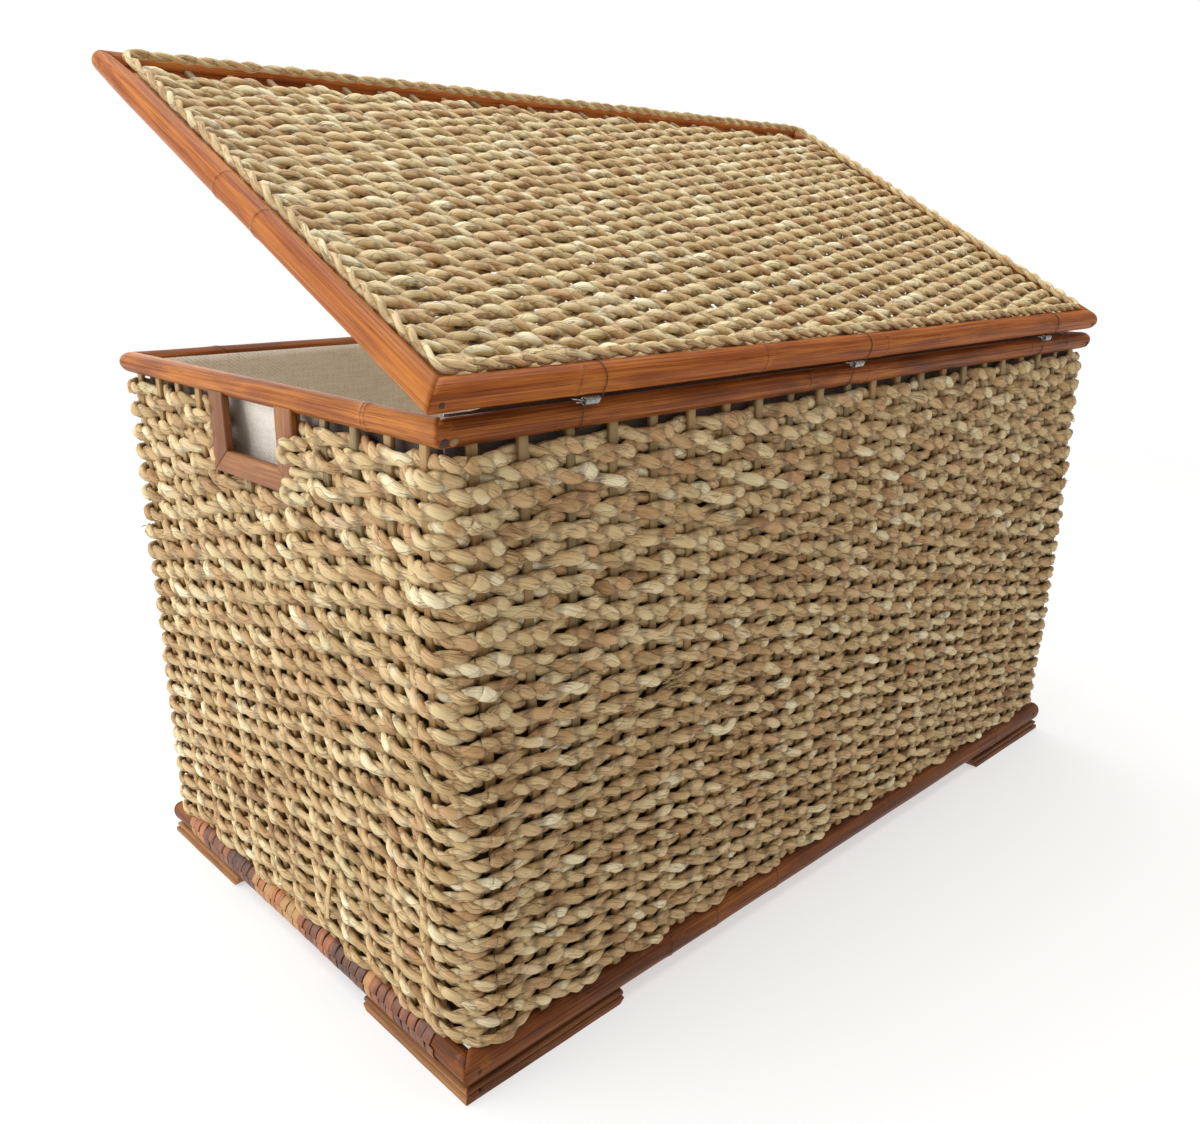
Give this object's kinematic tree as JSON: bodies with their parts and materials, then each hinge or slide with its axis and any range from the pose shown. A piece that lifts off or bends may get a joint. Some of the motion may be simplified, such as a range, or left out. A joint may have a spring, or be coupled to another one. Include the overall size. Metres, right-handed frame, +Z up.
{
  "type": "wicker storage trunk",
  "caption": "Rectangular wicker storage trunk with rattan pole frames, woven rope walls, cloth lining, end hand-holds and a back-hinged woven lid.",
  "frame": {"origin": "middle of the footprint, on the floor under the feet", "axes": "+X along the length, +Y to the hinge side, +Z up; the lid turns about X at the top of the +Y side"},
  "size_m": [0.928, 0.5192, 0.7321],
  "materials": {
    "rattan_pole": "varnished rattan pole, reddish orange brown, streaky",
    "rattan_dark": "varnished rattan pole, dark red brown",
    "rattan_peel": "glossy rattan peel, mixed brown, red, gold and olive",
    "foot_wood": "varnished softwood moulding",
    "bare_wood": "unfinished wood",
    "split_cane": "split cane, tan to olive green",
    "leaf_rope": "two-ply twisted dried leaf rope, straw to tan, dull",
    "rattan_slat": "flat varnished rattan slat, light orange brown",
    "canvas": "coarse beige grey canvas",
    "zinc_wire": "dull galvanised wire",
    "nail_iron": "dark nail heads"
  },
  "bodies": {
    "box": {"rim_front": "rattan_pole", "rim_back": "rattan_pole", "rim_left": "rattan_pole", "rim_right": "rattan_pole", "base_rail_front": "rattan_dark", "base_rail_back": "rattan_dark", "base_rail_left": "rattan_dark", "base_rail_right": "rattan_dark", "base_wrap_left": "rattan_peel", "base_wrap_right": "rattan_peel", "foot_long_fl": "foot_wood", "foot_long_fr": "foot_wood", "foot_long_bl": "foot_wood", "foot_long_br": "foot_wood", "foot_end_fl": "foot_wood", "foot_end_fr": "foot_wood", "foot_end_bl": "foot_wood", "foot_end_br": "foot_wood", "floor_panel": "bare_wood", "floor_battens": "bare_wood", "stakes_front": "split_cane", "stakes_back": "split_cane", "stakes_left": "split_cane", "stakes_right": "split_cane", "weave_front": "leaf_rope", "weave_back": "leaf_rope", "weave_left": "leaf_rope", "weave_right": "leaf_rope", "handle_left_sill": "rattan_slat", "handle_left_jamb_front": "rattan_slat", "handle_left_jamb_back": "rattan_slat", "handle_right_sill": "rattan_slat", "handle_right_jamb_front": "rattan_slat", "handle_right_jamb_back": "rattan_slat", "lining_front": "canvas", "lining_back": "canvas", "lining_left": "canvas", "lining_right": "canvas", "lining_floor": "canvas", "hinge_coil_a": "zinc_wire", "hinge_coil_b": "zinc_wire", "hinge_coil_c": "zinc_wire", "frame_nails": "nail_iron"},
    "lid": {"lid_rail_front": "rattan_pole", "lid_rail_back": "rattan_pole", "lid_rail_left": "rattan_pole", "lid_rail_right": "rattan_pole", "lid_stakes": "split_cane", "lid_weave": "leaf_rope", "lid_border_rope": "leaf_rope", "lid_edge_strip": "rattan_slat", "hinge_pin_a": "zinc_wire", "hinge_pin_b": "zinc_wire", "hinge_pin_c": "zinc_wire", "lid_nails": "nail_iron"}
  },
  "joints": [
    {"name": "lid_hinge", "type": "hinge", "parent": "box", "child": "lid", "pos_m": [0, 0.245, 0.4995], "axis": [-1, 0, 0], "range_deg": [-26.4, 75]}
  ]
}
